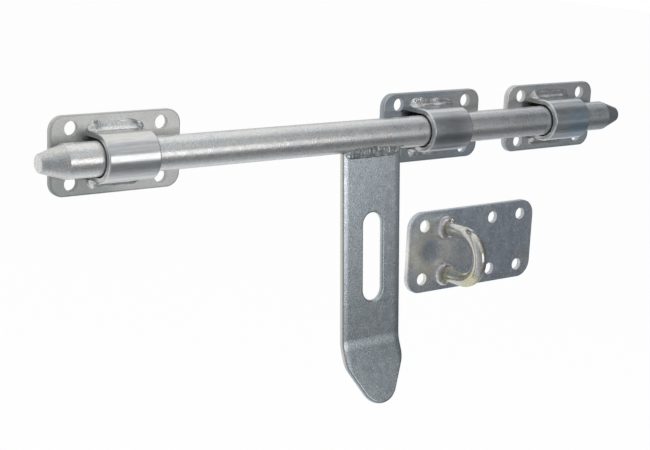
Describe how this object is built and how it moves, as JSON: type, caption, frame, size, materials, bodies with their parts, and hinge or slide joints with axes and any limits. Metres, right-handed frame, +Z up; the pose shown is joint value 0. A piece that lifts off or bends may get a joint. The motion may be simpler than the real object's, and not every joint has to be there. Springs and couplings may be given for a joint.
{
  "type": "sliding bolt",
  "caption": "Round-bar sliding bolt in three saddle guides, with a slotted hasp handle hanging from the bar and a separate padlock staple on a plate.",
  "frame": {"origin": "middle of the left guide plate's back face, on the door", "axes": "+X along the bar towards the keeper, +Z up, +Y into the door"},
  "size_m": [0.405, 0.039, 0.1731],
  "materials": {
    "guide_plate": "bright zinc plate, fine speckle",
    "guide_loop": "bright zinc plate, satin",
    "bar": "bright zinc plate, drawn grain",
    "handle": "bright zinc plate, fine speckle",
    "staple": "bright zinc plate with a yellow tint",
    "weld": "zinc plate over rippled weld metal"
  },
  "bodies": {
    "door_side": {"left_plate": "guide_plate", "middle_plate": "guide_plate", "right_plate": "guide_plate", "staple_plate": "guide_plate", "left_loop": "guide_loop", "middle_loop": "guide_loop", "right_loop": "guide_loop", "staple_ring": "staple", "left_upper_weld": "weld", "left_lower_weld": "weld", "middle_upper_weld": "weld", "middle_lower_weld": "weld", "right_upper_weld": "weld", "right_lower_weld": "weld", "staple_upper_weld": "weld", "staple_lower_weld": "weld"},
    "bar": {"bolt_bar": "bar"},
    "handle": {"hasp_handle": "handle", "handle_front_weld": "weld", "handle_rear_weld": "weld"}
  },
  "joints": [
    {"name": "bar_slide", "type": "slide", "parent": "door_side", "child": "bar", "axis": [1, 0, 0], "range_m": [-0.121, 0.016]},
    {"name": "handle_swing", "type": "hinge", "parent": "bar", "child": "handle", "pos_m": [0.156, -0.0134, 0], "axis": [-1, 0, 0], "range_deg": [-8, 175]}
  ]
}
